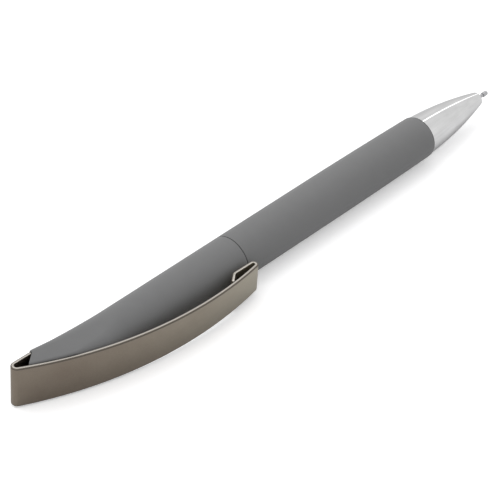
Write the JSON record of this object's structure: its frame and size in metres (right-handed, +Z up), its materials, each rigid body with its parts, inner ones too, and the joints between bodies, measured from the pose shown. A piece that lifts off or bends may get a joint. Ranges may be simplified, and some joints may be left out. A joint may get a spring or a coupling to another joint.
{
  "type": "twist-action ballpoint pen",
  "caption": "Metal twist ballpoint pen: soft-touch barrel, chrome ogive nose, bowed strap clip, point extended.",
  "frame": {"origin": "centre of the resting pen's footprint box, on the table", "axes": "+X along the barrel towards the writing tip, +Z up from the table, clip at -Y"},
  "size_m": [0.146, 0.0148, 0.0105],
  "materials": {
    "soft_touch": "matt grey soft-touch coating",
    "chrome": "polished chrome plating",
    "strap": "satin champagne-grey metal, bright at the edges",
    "brass": "turned",
    "steel": "bright drawn",
    "black_plastic": "moulded",
    "white_plastic": "moulded",
    "rubber": "matt",
    "ink": "blue-black paste",
    "grease": "clear grease",
    "carbide": "polished"
  },
  "bodies": {
    "front": {"front_barrel": "soft_touch", "nose_cone": "chrome", "nose_bush": "brass", "front_coupling": "brass", "friction_ring": "rubber", "guide_sleeve": "steel", "retaining_ring": "steel", "refill_spring": "steel"},
    "rear": {"rear_barrel": "soft_touch", "rear_bush": "brass", "cam_rotor": "steel", "rotor_cap": "black_plastic", "clip_root": "strap", "clip_anchor": "black_plastic"},
    "clip": {"clip_arm": "strap"},
    "refill": {"slider": "white_plastic", "slider_pin": "steel", "refill_crown": "white_plastic", "refill_tube": "steel", "refill_point": "steel", "ink": "ink", "ink_follower": "grease", "ball": "carbide"}
  },
  "joints": [
    {"name": "twist", "type": "hinge", "parent": "front", "child": "rear", "pos_m": [-0.01359, 0.00219, 0.00525], "axis": [1, 0, 0], "range_deg": [-180, 0]},
    {"name": "refill_slide", "type": "slide", "parent": "front", "child": "refill", "axis": [1, 0, 0], "range_m": [-0.0046, 0], "deforming": ["refill_spring"]},
    {"name": "clip_flex", "type": "hinge", "parent": "rear", "child": "clip", "pos_m": [-0.07172, 0.00492, 0.00539], "axis": [0, 0.0518, -0.9987], "range_deg": [0, 4], "stiffness_Nm_per_rad": 4.5}
  ],
  "couplings": [
    {"joint": "refill_slide", "follows": "twist", "m_per_rad": 0.001464}
  ]
}
